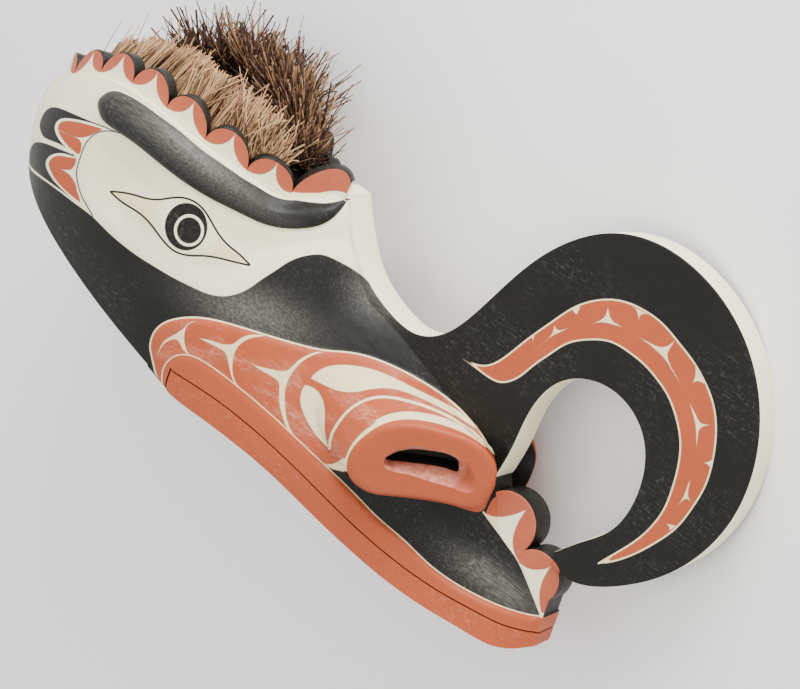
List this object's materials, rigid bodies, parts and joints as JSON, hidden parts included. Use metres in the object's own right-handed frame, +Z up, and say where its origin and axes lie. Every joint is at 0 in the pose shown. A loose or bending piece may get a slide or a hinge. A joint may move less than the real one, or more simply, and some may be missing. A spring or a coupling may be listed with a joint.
{
  "type": "crooked-beak hamatsa mask",
  "caption": "Carved and painted red cedar bird-monster mask with a curled beak crest, hinged lower jaw and a cedar-bark fringe, lying on its side.",
  "frame": {"origin": "on the floor under the middle of the bounding box of the mask lying on its left side", "axes": "+X towards the beak and curl, +Y roughly towards the top of the mask's head, +Z up, which is roughly the mask's own right side"},
  "size_m": [0.8556, 0.4246, 0.2666],
  "materials": {
    "painted_cedar": "hand-painted carved cedar, satin: white ground with black, red and cream",
    "red_cedar_paint": "red painted carved cedar, satin",
    "cedar_bark": "shredded inner bark, matte",
    "black_leather": "black leather, matte"
  },
  "bodies": {
    "mask": {"carved_mask": "painted_cedar", "bark_fringe_right": "cedar_bark", "bark_fringe_left": "cedar_bark", "hinge_strap_right_tab": "black_leather", "hinge_strap_left_tab": "black_leather"},
    "jaw": {"lower_jaw": "red_cedar_paint", "hinge_strap_right": "black_leather", "hinge_strap_left": "black_leather"}
  },
  "joints": [
    {"name": "jaw_hinge", "type": "hinge", "parent": "mask", "child": "jaw", "pos_m": [-0.10144, -0.16897, 0.12894], "axis": [-0.16, -0.0985, -0.9822], "range_deg": [0, 24]}
  ]
}
